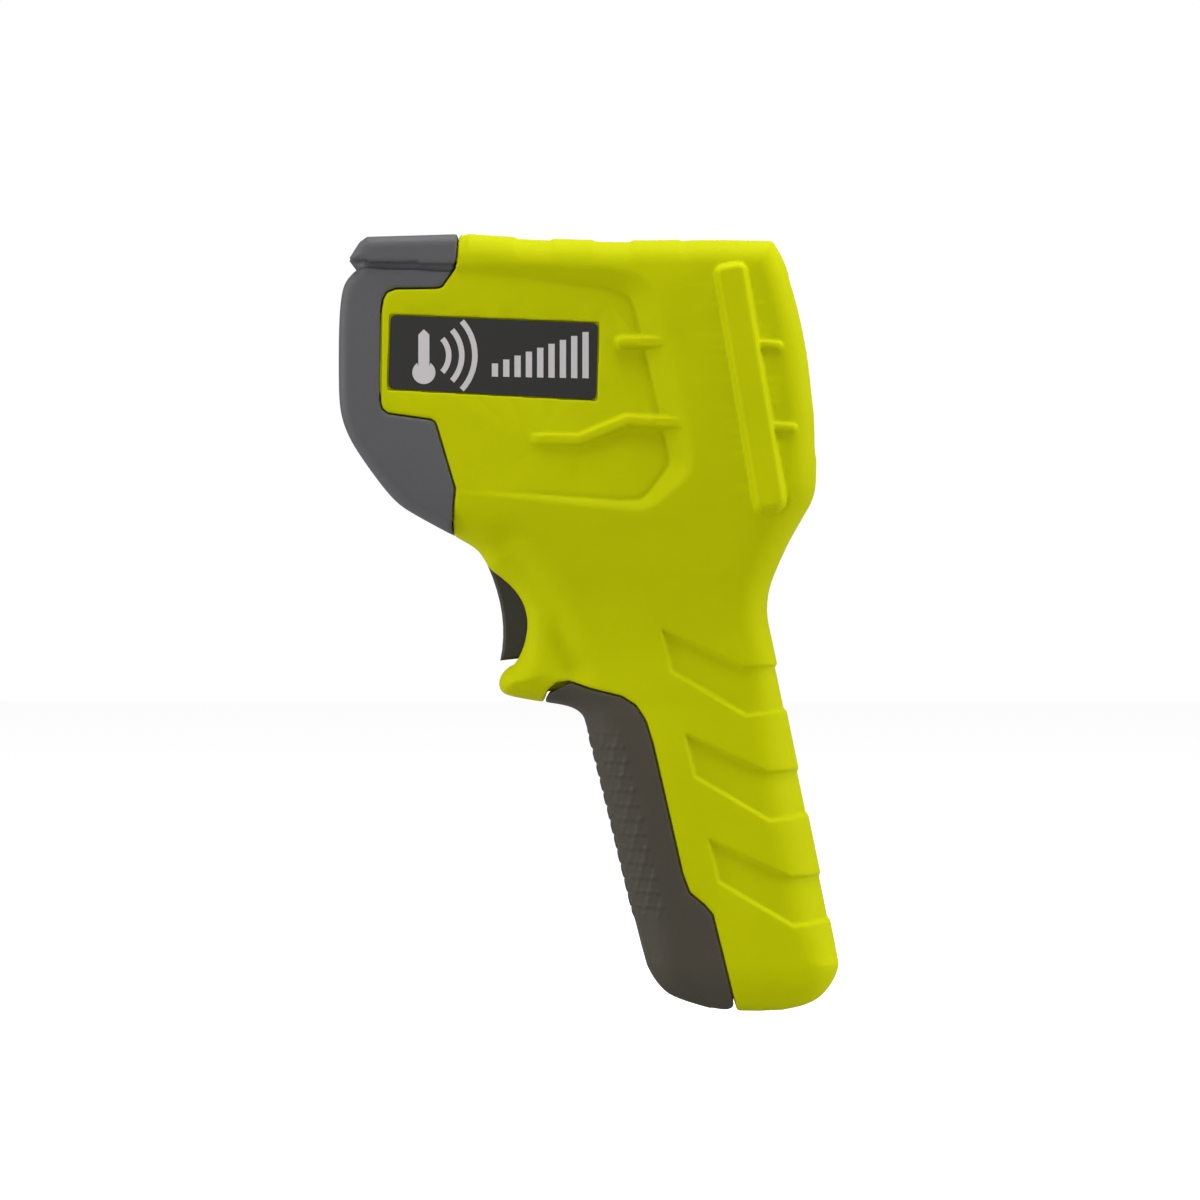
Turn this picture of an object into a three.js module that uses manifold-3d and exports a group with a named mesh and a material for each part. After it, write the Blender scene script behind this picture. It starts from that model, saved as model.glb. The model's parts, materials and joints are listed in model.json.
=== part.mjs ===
// Pistol-grip infrared thermometer: two moulded housing halves, a soft-touch nose cover, a trigger,
// three keys under a raked display, and a hinged battery door in the front of the grip.
// Millimetres. +Z is up, the nose points along -X, and Y = 0 is the split plane of the housing.
// The origin is the middle of the bounding box at the height of the grip's base.
import * as THREE from "three";
import { mergeVertices } from "three/addons/utils/BufferGeometryUtils.js";
import Module from "manifold-3d";

const wasm = await Module();
wasm.setup();

// ---------------------------------------------------------------- driving dimensions

const WALL = 2.2; // housing wall
const GAP = 0.3; // clearance between neighbouring pieces
const SMALLEST_EDGE = 0.05; // a cut's shorter edges are merged
const FAR = 60; // reach of a cutter that passes the whole object
const ROOF_Z = 154.2;

const NOSE_HALF_WIDTH = 17.4;
const CHEEK_HALF_WIDTH = 20.5; // at the rear of the head
const GRIP_HALF_WIDTH = 14.5;
const BUMPER_HALF_WIDTH = 23;
const PANEL_Y = 17.6; // the flat badge panel sunk into each cheek
const BADGE_THICKNESS = 0.7;

const OPTIC_Z = 130; // axis of the infrared optics
const LASER_Z = 144.3;
const RAKE = THREE.MathUtils.degToRad(8.2); // the display leans forward by this
const DISPLAY_AT = [42, 0, 130]; // centre of the display panel's face
const GRIP_RAKE = THREE.MathUtils.degToRad(12.9);
const BATTERY_AT = [27.1, 0, 30.8]; // reference point of the battery bay

const TRIGGER_PIVOT = [-15, 93.5]; // x, z
const TRIGGER_HALF_WIDTH = 7;
const DOOR_PIVOT = [27.2, 2.1]; // x, z
const KNUCKLE_RADIUS = 1.7;
const DOOR_SWEEP = 71.2; // radius, about its hinge, of the door's top edge

const SCREWS = [ // x, z of each housing screw
  [-19, 104.5],
  [31, 99],
  [21, 147],
  [33.5, 70],
  [43, 9.3],
];
const SCREW_HEAD_Y = 10.3; // where each head seats in the right half

// Front and rear edges of the whole body as z, x pairs.
const FRONT_EDGE = [
  [0, 26], [1.2, 22], [2.8, 17.2], [4.2, 14.8], [7.2, 12.4], [10.6, 10.8], [58, -0.9], [60, -2.4],
  [61, -4.6], [61.9, -9.6], [63.2, -16.7], [64.1, -17.9], [65.5, -18.5], [67.2, -18.1],
  [70.4, -14.9], [72.8, -13.6], [76.2, -12.7], [78.8, -12.7], [82, -13.6], [84.9, -15.5],
  [87.1, -17.9], [88.7, -20.1], [90.5, -20.9], [92, -21.8], [93.3, -23.5], [101.2, -37.9],
  [107, -42.8], [114, -47.6], [119, -50], [122, -50.2], [140, -49.9], [144, -49.4],
  [147.5, -47.4], [ROOF_Z, -46],
];
const REAR_EDGE = [
  [0, 39], [1, 42.2], [2.2, 45], [3.4, 46.8], [5.8, 48.6], [8.2, 49.8], [10.6, 50.2],
  [75.4, 36.4], [78, 35.8], [80.2, 35.5], [82.6, 35.6], [85, 36], [88, 37], [92.2, 38.6],
  [99.4, 42.8], [101.8, 44.3], [104, 45], [111, 45.2], [118.6, 45], [130.6, 43.6],
  [137.8, 42.2], [142.6, 41], [147.4, 39.6], [149.8, 38.8], [ROOF_Z, 36],
];
// Half width of the body at its front and rear edge as z, y pairs: round base, slim grip, wide head.
const FRONT_WIDTH = [
  [0, 9.5], [1, 11.6], [3, 13.4], [6, 14.3], [10, GRIP_HALF_WIDTH], [56, GRIP_HALF_WIDTH],
  [66, 12], [80, 13], [98, NOSE_HALF_WIDTH], [148.5, NOSE_HALF_WIDTH], [151, 16.9], [153, 15.2],
  [ROOF_Z, 12.6],
];
const REAR_WIDTH = [
  [0, 9.5], [1, 11.6], [3, 13.4], [6, 14.3], [10, GRIP_HALF_WIDTH], [72, GRIP_HALF_WIDTH],
  [80, 15.2], [92, 18], [104, CHEEK_HALF_WIDTH], [148.5, CHEEK_HALF_WIDTH], [151, 20], [153, 18.2],
  [ROOF_Z, 15.6],
];
const CORNER_RADIUS = [[0, 7], [10, 9], [56, 9], [70, 5], [95, 5.5], [148, 5.5], [ROOF_Z, 4.5]];

// Closed side outlines as x, z pairs.
const NOSE_SEAM = [
  [-26.1, 162], [-26.4, 154.3], [-26.4, 150.8], [-27.1, 148.2], [-29.4, 144.9], [-30.3, 144.6],
  [-38.6, 144.5], [-40.4, 143.8], [-41.2, 142.3], [-41.7, 122], [-41.3, 120.6], [-40.2, 119.7],
  [-31.6, 118.5], [-30.7, 117.9], [-26.8, 104.8], [-27.4, 97.9], [-27.1, 88], [-FAR, 88],
  [-FAR, 162],
];
const DOOR_SEAM = [
  [29.4, -5], [29.4, 0], [24.7, 19.5], [22.9, 21.7], [19.9, 24.2], [18.5, 27.8], [11.1, 58.5],
  [9.2, 61.5], [6.4, 63.3], [0.4, 64.8], [-4.2, 66.3], [-6.7, 66], [-8.4, 64.5], [-9.2, 62.4],
  [-9.2, 61.6], [-30, 61.6], [-30, -5],
];
const VISOR = [
  [-48.2, 150.4], [-45.8, 154], [-44, 155], [-26.2, 155.6], [-26.6, 149.4], [-27.1, 148.1],
  [-46.4, 148.9],
];
const BADGE_PANEL = [
  [-44, 146.2], [-26, 147.6], [4, 144.5], [7.6, 143.4], [9.2, 140.6], [15.6, 110.4], [14.8, 108],
  [10.4, 103], [8.6, 102.2], [-8, 103.2], [-27, 107], [-44, 114],
];
const BADGE = [[-39.6, 139.2], [1.6, 137.5], [1.2, 122.4], [-40, 124.6]];
const BUMPER = [
  [25.2, 143.6], [26.6, 145.8], [30, 147], [31.4, 145.4], [38, 104.8], [36.6, 102.4],
  [33.8, 102.4], [32.2, 104.6],
];
const UPPER_RIB = [[6.2, 134.9], [17.4, 134.6], [17.4, 132.3], [6.2, 132.6]];
const LOWER_RIB = [
  [-13, 115.8], [-2, 115.8], [7, 119.3], [21.4, 118.6], [21.4, 116.6], [7.8, 117], [-1.6, 113.5],
  [-13, 113.9],
];
const REAR_RIBS = [
  [[33, 134.2], [37.4, 133.8], [37.4, 131.8], [33, 132.1]],
  [[35.5, 117.8], [40.4, 117.5], [40.4, 115.6], [35.5, 115.8]],
];
const CHEVRON = [[14.1, 77.1], [30.6, 69.4], [40, 69.8], [42, 60.7], [31.1, 59.3], [16, 68.2]];
const CHEVRON_PITCH = [4.7, -21]; // x, z from each chevron to the next
const CHEVRON_DEPTH = 0.6;
const FINGER_ARC = { from: [-20.7, 89.7], bulge: [-16.1, 79.5], to: [-18.1, 70.4] };

// ---------------------------------------------------------------- materials

const plastic = (color, roughness = 0.5) => new THREE.MeshStandardMaterial({ color, roughness });
const metal = (color, roughness = 0.3) =>
  new THREE.MeshStandardMaterial({ color, roughness, metalness: 1 });
const MATERIAL = {
  lime: plastic("#b4ba06", 0.45),
  grey: plastic("#59595a", 0.6),
  doorGrey: plastic("#46423a", 0.6),
  trigger: plastic("#3b392d", 0.55),
  black: plastic("#161616", 0.55),
  badge: plastic("#302f2d", 0.4),
  rubber: plastic("#2b2b2c", 0.8),
  lens: plastic("#d9dcd6", 0.25),
  window: plastic("#9fb0b4", 0.08),
  lcd: plastic("#8d9a86", 0.2),
  diffuser: plastic("#e9ece8", 0.4),
  board: plastic("#1d5a34", 0.45),
  steel: metal("#b9bcc0"),
  brass: metal("#b9975a"),
  battery: plastic("#23262b", 0.35),
  red: plastic("#b3201c", 0.45),
  blackWire: plastic("#191919", 0.45),
};

// ---------------------------------------------------------------- solids

// A closed geometry as a manifold solid.
function solidOf(geometry, tolerance = 1e-3) {
  const bare = geometry.clone();
  bare.deleteAttribute("normal");
  bare.deleteAttribute("uv");
  const merged = mergeVertices(bare, tolerance);
  return new wasm.Manifold(
    new wasm.Mesh({
      numProp: 3,
      vertProperties: merged.attributes.position.array,
      triVerts: new Uint32Array(merged.index.array),
    }),
  );
}

// A manifold solid as a flat-shaded geometry.
function geometryOf(solid) {
  const mesh = solid.getMesh();
  const indexed = new THREE.BufferGeometry()
    .setAttribute("position", new THREE.BufferAttribute(new Float32Array(mesh.vertProperties), 3))
    .setIndex(new THREE.BufferAttribute(new Uint32Array(mesh.triVerts), 1));
  const flat = indexed.toNonIndexed();
  flat.computeVertexNormals();
  return flat;
}

const joined = (...solids) => solids.reduce((all, one) => all.add(one));
const cut = (solid, ...tools) => tools.reduce((rest, tool) => rest.subtract(tool), solid);

// A box from its lowest corner to its highest.
function box([x0, y0, z0], [x1, y1, z1]) {
  const geometry = new THREE.BoxGeometry(x1 - x0, y1 - y0, z1 - z0);
  return solidOf(geometry.translate((x0 + x1) / 2, (y0 + y1) / 2, (z0 + z1) / 2));
}

// A cylinder along Y through x, z, from y0 to y1.
function rodY([x, z], radius, y0, y1, sides = 24) {
  const geometry = new THREE.CylinderGeometry(radius, radius, y1 - y0, sides);
  return solidOf(geometry.translate(x, (y0 + y1) / 2, z));
}

// A ring or disc turned about the X axis at height z. The profile holds x, radius pairs.
function turnedX(profile, z, sides = 40) {
  const onAxis = profile[0][1] === 0;
  const points = profile.map(([x, radius]) => new THREE.Vector2(radius, x));
  if (!onAxis) points.push(points[0].clone());
  let area = 0;
  points.forEach((p, i) => {
    const q = points[(i + 1) % points.length];
    area += p.x * q.y - q.x * p.y;
  });
  if (area < 0) points.reverse();
  const geometry = new THREE.LatheGeometry(points, sides);
  return solidOf(geometry.rotateZ(-Math.PI / 2).translate(0, 0, z));
}

const discX = (x0, x1, radius, z, sides) =>
  turnedX([[x0, 0], [x0, radius], [x1, radius], [x1, 0]], z, sides);

// A side outline (x, z pairs, or a ready Shape) drawn from y0 to y1, grown all round by offset,
// with an optional chamfer on both faces.
function prism(outline, y0, y1, { offset = 0, chamfer = 0 } = {}) {
  const shape = outline instanceof THREE.Shape
    ? outline
    : new THREE.Shape(outline.map(([x, z]) => new THREE.Vector2(x, z)));
  const thin = 0.001;
  const edge = Math.max(chamfer, thin);
  const geometry = new THREE.ExtrudeGeometry(shape, {
    depth: y1 - y0 - 2 * edge,
    curveSegments: 8,
    bevelEnabled: true,
    bevelSegments: 1,
    bevelThickness: edge,
    bevelSize: chamfer,
    bevelOffset: offset - chamfer,
  });
  return solidOf(geometry.rotateX(Math.PI / 2).translate(0, y1 - edge, 0));
}

// ---------------------------------------------------------------- the body's shape

// Value at z of a line of z, value pairs.
function at(line, z) {
  const i = line.findIndex(([level]) => level >= z);
  if (i === 0) return line[0][1];
  if (i < 0) return line[line.length - 1][1];
  const [z0, a] = line[i - 1];
  const [z1, b] = line[i];
  return a + ((b - a) * (z - z0)) / (z1 - z0);
}

// The innermost value of an edge within reach of z, so that an inset wall keeps its thickness.
function innermost(line, z, reach, choose) {
  return choose(...[-1, -0.5, 0, 0.5, 1].map((step) => at(line, z + step * reach)));
}

// One horizontal section: a rounded trapezium, counter-clockwise from above.
function section(z, inset) {
  const front = innermost(FRONT_EDGE, z, inset, Math.max) + inset;
  const rear = innermost(REAR_EDGE, z, inset, Math.min) - inset;
  const radius = Math.max(at(CORNER_RADIUS, z) - inset, 1);
  const frontWidth = innermost(FRONT_WIDTH, z, inset, Math.min) - inset;
  const rearWidth = innermost(REAR_WIDTH, z, inset, Math.min) - inset;
  const corners = [
    [rear - radius, rearWidth - radius, 0],
    [front + radius, frontWidth - radius, 1],
    [front + radius, radius - frontWidth, 2],
    [rear - radius, radius - rearWidth, 3],
  ];
  const steps = 3;
  return corners.flatMap(([x, y, quarter]) =>
    Array.from({ length: steps + 1 }, (_, i) => {
      const angle = ((quarter + i / steps) * Math.PI) / 2;
      return [x + radius * Math.cos(angle), y + radius * Math.sin(angle), z];
    }),
  );
}

// The whole body, or the body inset by a wall, lofted through its horizontal sections.
function body(inset = 0) {
  const bottom = inset;
  const top = ROOF_Z - inset;
  const spacing = inset > 1 ? 1.5 : 0.7;
  const levels = [bottom];
  const wanted = [FRONT_EDGE, REAR_EDGE, FRONT_WIDTH].flat().map(([z]) => z);
  for (const z of wanted.sort((a, b) => a - b)) {
    if (z > levels[levels.length - 1] + spacing && z < top - spacing) levels.push(z);
  }
  levels.push(top);
  const rings = levels.map((z) => section(z, inset));
  const around = rings[0].length;
  const faces = [];
  for (let i = 0; i + 1 < rings.length; i++) {
    for (let j = 0; j < around; j++) {
      const a = i * around + j;
      const b = i * around + ((j + 1) % around);
      faces.push(a, b, b + around, a, b + around, a + around);
    }
  }
  const last = (rings.length - 1) * around;
  for (let j = 1; j + 1 < around; j++) {
    faces.push(0, j + 1, j, last, last + j, last + j + 1);
  }
  const geometry = new THREE.BufferGeometry()
    .setAttribute("position", new THREE.Float32BufferAttribute(rings.flat(2), 3))
    .setIndex(faces);
  return solidOf(geometry);
}

const OUTER = body();
const CAVITY = body(WALL);
const SHELL = OUTER.subtract(CAVITY);
const LEFT_SPACE = box([-FAR, -FAR, -10], [FAR, -GAP / 2, 170]);
const RIGHT_SPACE = box([-FAR, GAP / 2, -10], [FAR, FAR, 170]);

// The region swept by a circle about the door's hinge.
const doorSweep = (radius) => rodY(DOOR_PIVOT, radius, -FAR, FAR, 160);

// A solid placed in a group that leans about Y.
function leaned(solid, [x, y, z], angle) {
  return solid.rotate([0, THREE.MathUtils.radToDeg(angle), 0]).translate([x, y, z]);
}
const onDisplay = (solid) => leaned(solid, DISPLAY_AT, -RAKE);
const inGrip = (solid) => leaned(solid, BATTERY_AT, -GRIP_RAKE);

// ---------------------------------------------------------------- housing halves

// One cheek's outside detail: side is -1 for the left half and 1 for the right.
function cheekDetail(side) {
  const between = (near, far) => (side < 0 ? [-far, -near] : [near, far]);
  const bars = [
    prism(BUMPER, ...between(17.6, BUMPER_HALF_WIDTH), { chamfer: 1.1 }),
    prism(UPPER_RIB, ...between(16.4, 19.1)),
    prism(LOWER_RIB, ...between(16.4, 18.9)),
    ...REAR_RIBS.map((outline) => prism(outline, ...between(17, 20.7))),
  ];
  const rampWidth = 5;
  const panel = prism(BADGE_PANEL, ...between(PANEL_Y, PANEL_Y + 8), {
    chamfer: rampWidth,
    offset: rampWidth,
  });
  const badgePocket = prism(BADGE, ...between(PANEL_Y - BADGE_THICKNESS - GAP, PANEL_Y + 1), {
    offset: GAP,
  });
  return { bars, panel, badgePocket };
}

function chevronGrooves() {
  const skin = body(-1).subtract(body(CHEVRON_DEPTH));
  const grooves = [0, 1, 2].map((n) => {
    const [dx, dz] = CHEVRON_PITCH;
    return prism(CHEVRON.map(([x, z]) => [x + n * dx, z + n * dz]), -FAR, FAR);
  });
  const palm = box([-FAR, -7, -10], [FAR, 7, 170]);
  return joined(...grooves).intersect(skin).subtract(palm);
}

// What both halves lose: nose, door, trigger slot, display and key openings.
function sharedOpenings() {
  const slot = box([-24, -TRIGGER_HALF_WIDTH - GAP, 69.6], [-9, TRIGGER_HALF_WIDTH + GAP, 91]);
  const display = onDisplay(box([-6, -15.8, -19.3], [8, 15.8, 18.3]));
  const doorWay = prism(DOOR_SEAM, -FAR, FAR, { offset: GAP });
  const hookCorner = prism([[-2, 60], [-2, 66.4], [-20, 66.4], [-20, 60]], -FAR, FAR)
    .intersect(doorSweep(DOOR_SWEEP + GAP));
  return [prism(NOSE_SEAM, -FAR, FAR, { offset: GAP }), doorWay, hookCorner, slot, display];
}

// Inner structure of one half: screw bosses, pin bosses, spring seat, hinge lugs, battery wall.
function innerStructure(side) {
  const rod = (spot, radius, near, far) =>
    side < 0 ? rodY(spot, radius, -far, -near) : rodY(spot, radius, near, far);
  const block = (lo, hi) =>
    side < 0 ? box([lo[0], -hi[1], lo[2]], [hi[0], -lo[1], hi[2]]) : box(lo, hi);
  const half = GAP / 2;
  const bosses = SCREWS.map((spot) => rod(spot, 3.6, half, 18)).concat(
    rod(TRIGGER_PIVOT, 3, TRIGGER_HALF_WIDTH + 0.5, 16),
    block([1.4, half, 80.4], [3.2, 15, 86.6]),
    inGrip(block([10, half, -20], [11.4, 14, 33])),
  );
  const lug = rod(DOOR_PIVOT, KNUCKLE_RADIUS, 6.4, 9.4).add(
    block([DOOR_PIVOT[0], 6.4, 0.5], [34.3, 9.4, 3.8]),
  );
  return joined(...bosses).intersect(OUTER).add(lug);
}

function housing(side) {
  const detail = cheekDetail(side);
  const half = side < 0 ? LEFT_SPACE : RIGHT_SPACE;
  const skin = cut(SHELL.intersect(half), detail.panel, chevronGrooves());
  const backed = side < 0 ? [-17.2, -15.2] : [15.2, 17.2];
  const badgeBacking = prism(BADGE, ...backed, { offset: 2 }).intersect(OUTER);
  const walls = cut(joined(skin, badgeBacking, ...detail.bars), ...sharedOpenings());
  const whole = walls.add(innerStructure(side).intersect(half)).subtract(detail.badgePocket);
  const bores = SCREWS.map((spot) => rodY(spot, 1.4, -9, 12))
    .concat(SCREWS.map((spot) => rodY(spot, 2.7, SCREW_HEAD_Y, FAR)))
    .concat(rodY(TRIGGER_PIVOT, 1.5, -9.4, 9.4))
    .concat(rodY(DOOR_PIVOT, 1.1, -9, 9));
  return largest(cut(whole, ...bores));
}

// The biggest connected piece of a solid, which drops slivers that a cut leaves behind.
function largest(solid) {
  const rounded = solidOf(geometryOf(solid.simplify(SMALLEST_EDGE)), SMALLEST_EDGE / 4);
  return rounded.simplify(SMALLEST_EDGE).decompose().reduce((a, b) => (a.volume() > b.volume() ? a : b));
}

// ---------------------------------------------------------------- nose and optics

function noseCover() {
  const region = prism(NOSE_SEAM, -FAR, FAR);
  const visor = prism(VISOR, -NOSE_HALF_WIDTH - 0.7, NOSE_HALF_WIDTH + 0.7, { chamfer: 0.9 });
  const skin = joined(SHELL.intersect(region), visor.subtract(CAVITY));
  const opticHole = discX(-FAR, -44, 10.5, OPTIC_Z);
  const laserHole = discX(-FAR, -44, 2.9, LASER_Z, 24);
  return largest(cut(skin, opticHole, laserHole));
}

const lensShroud = () =>
  turnedX([[-49.8, 9], [-49.8, 10.1], [-45, 10.1], [-44, 9.4], [-38.4, 9.4], [-38.4, 7.6],
    [-40.3, 7.6], [-40.3, 6.6]], OPTIC_Z);
const irLens = () =>
  turnedX([[-40, 0], [-40, 7.3], [-38.9, 7.3], [-38.6, 5], [-38.4, 2.6], [-38.3, 0]], OPTIC_Z);
const sensorTube = () =>
  turnedX([[-38, 5.6], [-38, 8.6], [-13.4, 8.6], [-13.4, 4.6], [-17, 4.6], [-18, 5.6]], OPTIC_Z);
const thermopile = () =>
  turnedX([[-17.6, 0], [-17.6, 3.9], [-13.9, 3.9], [-13.9, 4.3], [-13.2, 4.3], [-13.2, 0]], OPTIC_Z);
const sensorBoard = () => box([-12.9, -9, OPTIC_Z - 9], [-11.5, 9, OPTIC_Z + 9]);
const laserModule = () =>
  turnedX([[-44.4, 1.2], [-44.4, 3], [-33, 3], [-33, 2.2], [-31, 2.2], [-31, 1.2]], LASER_Z, 28);
const laserWindow = () => discX(-48.2, -47.2, 2.6, LASER_Z, 24);

function opticsBracket() {
  const plate = box([-37, -14.2, OPTIC_Z - 12.5], [-34, 14.2, 149.2]);
  const bores = [discX(-FAR, 0, 8.9, OPTIC_Z), discX(-FAR, 0, 3.3, LASER_Z, 28)];
  return cut(plate, ...bores);
}

// ---------------------------------------------------------------- display and keys

const KEY_Z = -13.2; // keys and display openings are placed from the panel's centre
const KEY_YS = { key_left: -9.4, key_center: 0, key_right: 9.4 };
const KEY_SIZE = [7.4, 5]; // y, z
const KEY_PROUD = 0.5;
const WINDOW_SIZE = [25, 19]; // y, z
const WINDOW_Z = 6.2;

// A block on the display's axes, centred on y, z, from x0 to x1.
const plate = (x0, x1, y, z, [sizeY, sizeZ]) =>
  box([x0, y - sizeY / 2, z - sizeZ / 2], [x1, y + sizeY / 2, z + sizeZ / 2]);
const grown = ([a, b], by) => [a + 2 * by, b + 2 * by];

function rearBezel() {
  const window = plate(-9, 9, 0, WINDOW_Z, grown(WINDOW_SIZE, GAP));
  const keys = Object.values(KEY_YS).map((y) => plate(-9, 9, y, KEY_Z, grown(KEY_SIZE, GAP)));
  return cut(box([-2, -15.5, -19], [0, 15.5, 18]), window, ...keys);
}
const displayWindow = () => plate(-1.5, -0.3, 0, WINDOW_Z, WINDOW_SIZE);
const lcdModule = () => plate(-4.8, -2.4, 0, WINDOW_Z, grown(WINDOW_SIZE, 1.5));
const backlight = () => plate(-7.6, -5.1, 0, WINDOW_Z, grown(WINDOW_SIZE, 1.5));
const mainBoard = () => box([-9.6, -16, -21], [-8, 16, 19.5]);
const keyCap = (y) =>
  plate(-3.9, KEY_PROUD, y, KEY_Z, KEY_SIZE).add(plate(-3.4, -2.5, y, KEY_Z, grown(KEY_SIZE, 0.7)));

function keypadMat() {
  const domes = Object.values(KEY_YS).map((y) => plate(-7, -5.1, y, KEY_Z, [4, 4]));
  return joined(plate(-7.7, -6.7, 0, KEY_Z, [29, 9]), ...domes);
}

// ---------------------------------------------------------------- trigger

function triggerShape() {
  const { from, bulge, to } = FINGER_ARC;
  const shape = new THREE.Shape();
  shape.moveTo(...from);
  shape.quadraticCurveTo(...bulge, ...to);
  shape.lineTo(-9, 71.4);
  shape.lineTo(-7.6, 73);
  shape.lineTo(-7.6, 86.5);
  shape.lineTo(-11.5, 92.5);
  shape.absarc(...TRIGGER_PIVOT, 2.8, -0.3, 3.4, false);
  shape.lineTo(-17.3, 90.7);
  shape.lineTo(-20.3, 90.7);
  return shape;
}

function trigger() {
  const solid = prism(triggerShape(), -TRIGGER_HALF_WIDTH, TRIGGER_HALF_WIDTH, { chamfer: 0.6 });
  return solid.intersect(box([-24, -9, 60], [0, 9, 98])).subtract(rodY(TRIGGER_PIVOT, 1.5, -9, 9));
}

class Helix extends THREE.Curve {
  constructor(from, to, radius, turns) {
    super();
    Object.assign(this, { from, to, radius, turns });
  }
  getPoint(t) {
    const angle = t * this.turns * 2 * Math.PI;
    return new THREE.Vector3(
      THREE.MathUtils.lerp(this.from[0], this.to[0], t),
      this.radius * Math.cos(angle),
      this.from[1] + this.radius * Math.sin(angle),
    );
  }
}

// A round wire along a curve, with twice as many sides as the half turn has.
function wire(curve, radius, steps, halfSides = 4) {
  const circle = new THREE.Shape().absarc(0, 0, radius, 0, 2 * Math.PI);
  const options = { steps, extrudePath: curve, bevelEnabled: false, curveSegments: halfSides };
  return solidOf(new THREE.ExtrudeGeometry(circle, options));
}

const triggerSpring = () => wire(new Helix([-7, 83.5], [0.8, 83.5], 2.1, 5), 0.28, 60, 3);
const SWITCH_Z = 76.5;
const switchPlunger = () => discX(-7.3, -2.4, 1, SWITCH_Z, 20);
const switchBody = () =>
  box([-4.2, -3, SWITCH_Z - 3], [3, 3, SWITCH_Z + 3]).subtract(discX(-6, 0.6, 1.3, SWITCH_Z, 20));
const switchBoard = () => box([3.3, -7, 70], [4.8, 7, 90]);

// ---------------------------------------------------------------- battery door and battery

function batteryDoor() {
  const region = prism(DOOR_SEAM, -FAR, FAR).intersect(doorSweep(DOOR_SWEEP));
  const corner = box([DOOR_PIVOT[0], -FAR, -4], [32, FAR, DOOR_PIVOT[1]]);
  const rounded = corner.subtract(rodY(DOOR_PIVOT, KNUCKLE_RADIUS, -FAR, FAR));
  const lugNotches = [[-9.7, -6.1], [6.1, 9.7]].map(([y0, y1]) => box([24.6, y0, -4], [32, y1, 4.6]));
  const knuckle = rodY(DOOR_PIVOT, KNUCKLE_RADIUS, -5.8, 5.8).add(
    box([24, -5.8, 0.4], [DOOR_PIVOT[0], 5.8, 3.8]),
  );
  const skin = cut(SHELL.intersect(region), rounded, ...lugNotches);
  const rib = box([-4, -8, 59.6], [4, 8, 61.2]).intersect(OUTER);
  return largest(joined(skin, knuckle, rib).subtract(rodY(DOOR_PIVOT, 1.1, -9, 9)));
}

const hingePin = () => rodY(DOOR_PIVOT, 0.8, -8.8, 8.8, 16);
const triggerPin = () => rodY(TRIGGER_PIVOT, 1.2, -9.1, 9.1, 20);

// Battery parts are placed from BATTERY_AT along the grip.
const BATTERY_X = [-15.9, 9.6];
const BATTERY_Z = [-18.2, 28];
const BATTERY_HALF_WIDTH = 8.6;
const TERMINAL_X = [-10, 2.8]; // the small snap, then the large one

function batteryCell() {
  const can = box([BATTERY_X[0], -BATTERY_HALF_WIDTH, BATTERY_Z[0]],
    [BATTERY_X[1], BATTERY_HALF_WIDTH, BATTERY_Z[1]]);
  const snaps = TERMINAL_X.map((x, i) => {
    const radius = [2.8, 3.6][i];
    const stud = new THREE.CylinderGeometry(radius, radius, 2.4, 20).rotateX(Math.PI / 2);
    return solidOf(stud.translate(x, 0, BATTERY_Z[1] + 1));
  });
  return joined(can, ...snaps);
}

const batterySnap = () =>
  box([-15, -6.5, BATTERY_Z[1] + 2.5], [8, 6.5, BATTERY_Z[1] + 5]);

function lead(y) {
  const route = [[12.6, 64.6], [11, 69], [13, 78], [20, 92], [27, 103], [33.2, 112.5]];
  const points = route.map(([x, z]) => new THREE.Vector3(x, y, z));
  return wire(new THREE.CatmullRomCurve3(points), 0.75, 20);
}

// ---------------------------------------------------------------- fasteners and badges

function screw([x, z]) {
  const head = rodY([x, z], 2.3, SCREW_HEAD_Y + 0.2, SCREW_HEAD_Y + 2.1, 20);
  const shank = rodY([x, z], 1.1, -8, SCREW_HEAD_Y + 0.3, 12);
  return joined(head, shank);
}

const badge = (side) => {
  const near = PANEL_Y - BADGE_THICKNESS;
  const range = side < 0 ? [-PANEL_Y - 0.05, -near] : [near, PANEL_Y + 0.05];
  return prism(BADGE, ...range, { chamfer: 0.2 });
};

// ---------------------------------------------------------------- assembly

const thermometer = new THREE.Group();
const displayGroup = new THREE.Group();
displayGroup.position.set(...DISPLAY_AT);
displayGroup.rotation.y = -RAKE;
const batteryGroup = new THREE.Group();
batteryGroup.position.set(...BATTERY_AT);
batteryGroup.rotation.y = -GRIP_RAKE;
thermometer.add(displayGroup, batteryGroup);

function addPiece(name, solid, material, parent = thermometer) {
  const mesh = new THREE.Mesh(geometryOf(solid), material);
  mesh.name = name;
  parent.add(mesh);
}

addPiece("housing_left", housing(-1), MATERIAL.lime);
addPiece("housing_right", housing(1), MATERIAL.lime);
addPiece("badge_left", badge(-1), MATERIAL.badge);
addPiece("badge_right", badge(1), MATERIAL.badge);
addPiece("nose_cover", noseCover(), MATERIAL.grey);

addPiece("lens_shroud", lensShroud(), MATERIAL.black);
addPiece("ir_lens", irLens(), MATERIAL.lens);
addPiece("sensor_tube", sensorTube(), MATERIAL.black);
addPiece("thermopile", thermopile(), MATERIAL.steel);
addPiece("sensor_board", sensorBoard(), MATERIAL.board);
addPiece("laser_module", laserModule(), MATERIAL.brass);
addPiece("laser_window", laserWindow(), MATERIAL.window);
addPiece("optics_bracket", opticsBracket(), MATERIAL.black);

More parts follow.
